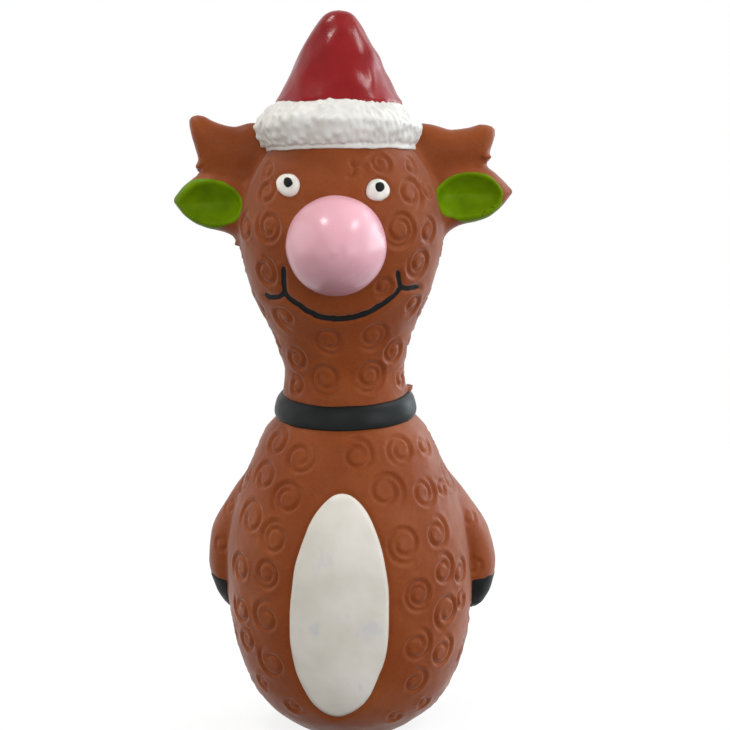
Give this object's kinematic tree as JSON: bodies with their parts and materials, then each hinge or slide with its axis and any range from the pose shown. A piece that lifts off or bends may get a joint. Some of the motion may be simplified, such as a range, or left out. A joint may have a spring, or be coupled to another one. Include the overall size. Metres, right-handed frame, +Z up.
{
  "type": "latex dog toy",
  "caption": "Upright squeaky latex dog toy shaped like a reindeer in a peaked winter hat, hollow and fibre filled, with a squeaker in its foot.",
  "frame": {"origin": "on the surface that the toy stands on, under the middle of its outline", "axes": "+Z up, -Y out of the toy's face, +X to the right of someone who looks at its face"},
  "size_m": [0.0834, 0.0698, 0.1801],
  "materials": {
    "brown_latex": "matt self-coloured natural latex, pressed with small curls",
    "white_fibre": "loose polyester fibre",
    "slate_coat": "satin latex paint",
    "cream_coat": "matt latex paint, brushed",
    "pink_coat": "glossy latex paint",
    "black_coat": "satin latex paint, brushed",
    "red_coat": "glossy latex paint",
    "frost_coat": "satin latex paint over a dimpled surface",
    "white_coat": "satin latex paint",
    "green_coat": "glossy latex paint",
    "squeaker_plastic": "plain moulded polyethylene",
    "reed_film": "polyester film"
  },
  "bodies": {
    "toy": {"latex_skin": "brown_latex", "fibre_filling": "white_fibre", "collar_coat": "slate_coat", "belly_coat": "cream_coat", "nose_coat": "pink_coat", "mouth_line": "black_coat", "hat_coat": "red_coat", "trim_coat": "frost_coat", "eye_white_left": "white_coat", "pupil_left": "black_coat", "eye_white_right": "white_coat", "pupil_right": "black_coat", "ear_lining_left": "green_coat", "hoof_coat_left": "black_coat", "ear_lining_right": "green_coat", "hoof_coat_right": "black_coat", "squeaker_housing": "squeaker_plastic", "squeaker_cap": "squeaker_plastic", "reed_block": "squeaker_plastic", "reed_clamp": "squeaker_plastic"},
    "reed": {"reed": "reed_film"}
  },
  "joints": [
    {"name": "reed_bend", "type": "hinge", "parent": "toy", "child": "reed", "pos_m": [-0.00035, 0.0064, 0.0122], "axis": [0, -1, 0], "range_deg": [-2, 6], "stiffness_Nm_per_rad": 0.0001}
  ]
}
